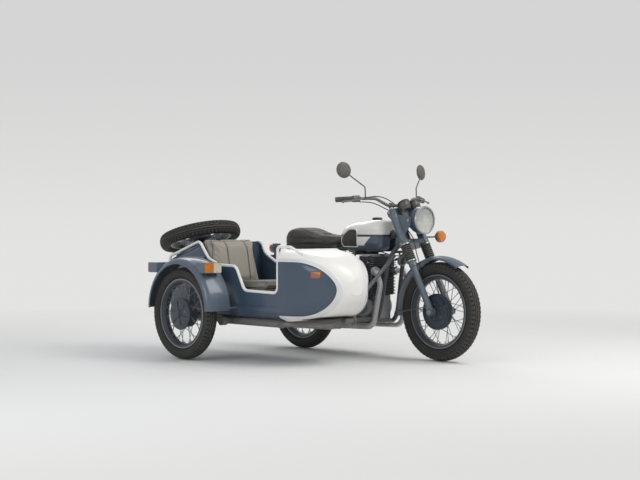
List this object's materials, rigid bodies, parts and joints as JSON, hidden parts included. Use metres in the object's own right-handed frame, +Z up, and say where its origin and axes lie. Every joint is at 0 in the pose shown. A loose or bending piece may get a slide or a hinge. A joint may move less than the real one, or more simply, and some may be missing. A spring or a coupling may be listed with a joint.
{
  "type": "motorcycle with sidecar",
  "caption": "Classic motorcycle with a single-seat sidecar, spoked wheels, a turning fork and a trunk lid that carries the spare wheel.",
  "frame": {"origin": "middle of the underside of the box that the whole outfit fills, at floor level", "axes": "+X forward, +Y to the rider's left, +Z up"},
  "size_m": [2.3503, 1.7443, 1.3709],
  "materials": {
    "frame_paint": "semi-gloss dark grey enamel",
    "engine_case": "dark cast alloy",
    "engine_fins": "dark cast fins",
    "exhaust_metal": "dull plated steel",
    "white_paint": "gloss warm white enamel",
    "slate_paint": "gloss slate blue enamel",
    "band_paint": "light grey enamel",
    "fork_paint": "satin slate enamel",
    "dark_plastic": "satin black",
    "seat_vinyl": "grained dark vinyl",
    "sidecar_vinyl": "grained grey-beige vinyl",
    "red_plastic": "clear red lens",
    "amber_plastic": "clear amber lens",
    "clear_plastic": "milky lens",
    "lamp_glass": "fluted lamp glass",
    "grey_metal": "warm grey enamel",
    "black_rubber": "moulded rubber",
    "tyre": "treaded rubber",
    "wheel_metal": "dark slate enamel"
  },
  "bodies": {
    "chassis": {"frame": "frame_paint", "crankcase": "engine_case", "cylinders": "engine_fins", "carburettors": "engine_case", "exhausts": "exhaust_metal", "foot_controls": "grey_metal", "rubber_pads": "black_rubber", "chain_case": "frame_paint", "fuel_tank": "white_paint", "filler_cap": "dark_plastic", "dual_seat": "seat_vinyl", "rear_mudguard": "slate_paint", "red_lenses": "red_plastic", "swing_arm": "frame_paint", "rear_shocks": "frame_paint", "side_covers": "slate_paint", "horn": "dark_plastic", "body_tub": "slate_paint", "body_tail": "slate_paint", "bulkhead": "slate_paint", "body_cowl": "white_paint", "side_bands": "band_paint", "cockpit_bead": "white_paint", "amber_lenses": "amber_plastic", "white_lens": "clear_plastic", "seat_cushion": "sidecar_vinyl", "seat_back": "sidecar_vinyl", "sidecar_mudguard": "slate_paint", "side_lamps": "slate_paint", "sidecar_chassis": "frame_paint", "wheel_arm": "frame_paint", "sidecar_struts": "frame_paint"},
    "steering": {"upper_yoke": "grey_metal", "lower_yoke": "grey_metal", "fork_legs": "fork_paint", "fork_gaiters": "black_rubber", "lamp_ears": "slate_paint", "headlamp_shell": "slate_paint", "headlamp_lens": "lamp_glass", "instruments": "grey_metal", "handlebar": "grey_metal", "grips": "black_rubber", "bar_controls": "grey_metal", "mirrors": "grey_metal", "front_mudguard": "slate_paint", "turn_signal": "grey_metal", "turn_signal_lens": "amber_plastic", "brake_plate": "slate_paint", "control_cables": "black_rubber"},
    "front_wheel": {"front_tyre": "tyre", "front_rim": "wheel_metal"},
    "rear_wheel": {"rear_tyre": "tyre", "rear_rim": "wheel_metal"},
    "sidecar_wheel": {"sidecar_tyre": "tyre", "sidecar_rim": "wheel_metal", "hub_cover": "slate_paint"},
    "trunk_lid": {"trunk_lid": "slate_paint", "spare_tyre": "tyre", "spare_rim": "wheel_metal"},
    "centre_stand": {"centre_stand": "frame_paint"}
  },
  "joints": [
    {"name": "steering", "type": "hinge", "parent": "chassis", "child": "steering", "pos_m": [0.48001, 0.42005, 0.88809], "axis": [-0.4695, 0, 0.8829], "range_deg": [-38, 38]},
    {"name": "front_wheel_spin", "type": "hinge", "parent": "steering", "child": "front_wheel", "pos_m": [0.83373, 0.42005, 0.34], "axis": [0, 1, 0], "continuous": true},
    {"name": "rear_wheel_spin", "type": "hinge", "parent": "chassis", "child": "rear_wheel", "pos_m": [-0.55627, 0.42005, 0.319], "axis": [0, 1, 0], "continuous": true},
    {"name": "sidecar_wheel_spin", "type": "hinge", "parent": "chassis", "child": "sidecar_wheel", "pos_m": [-0.46627, -0.78395, 0.319], "axis": [0, 1, 0], "continuous": true},
    {"name": "trunk_lid_hinge", "type": "hinge", "parent": "chassis", "child": "trunk_lid", "pos_m": [-0.54627, -0.31995, 0.81625], "axis": [0, 1, 0], "range_deg": [0, 60]},
    {"name": "stand_fold", "type": "hinge", "parent": "chassis", "child": "centre_stand", "pos_m": [-0.08627, 0.42005, 0.203], "axis": [0, -1, 0], "range_deg": [0, 95]}
  ]
}
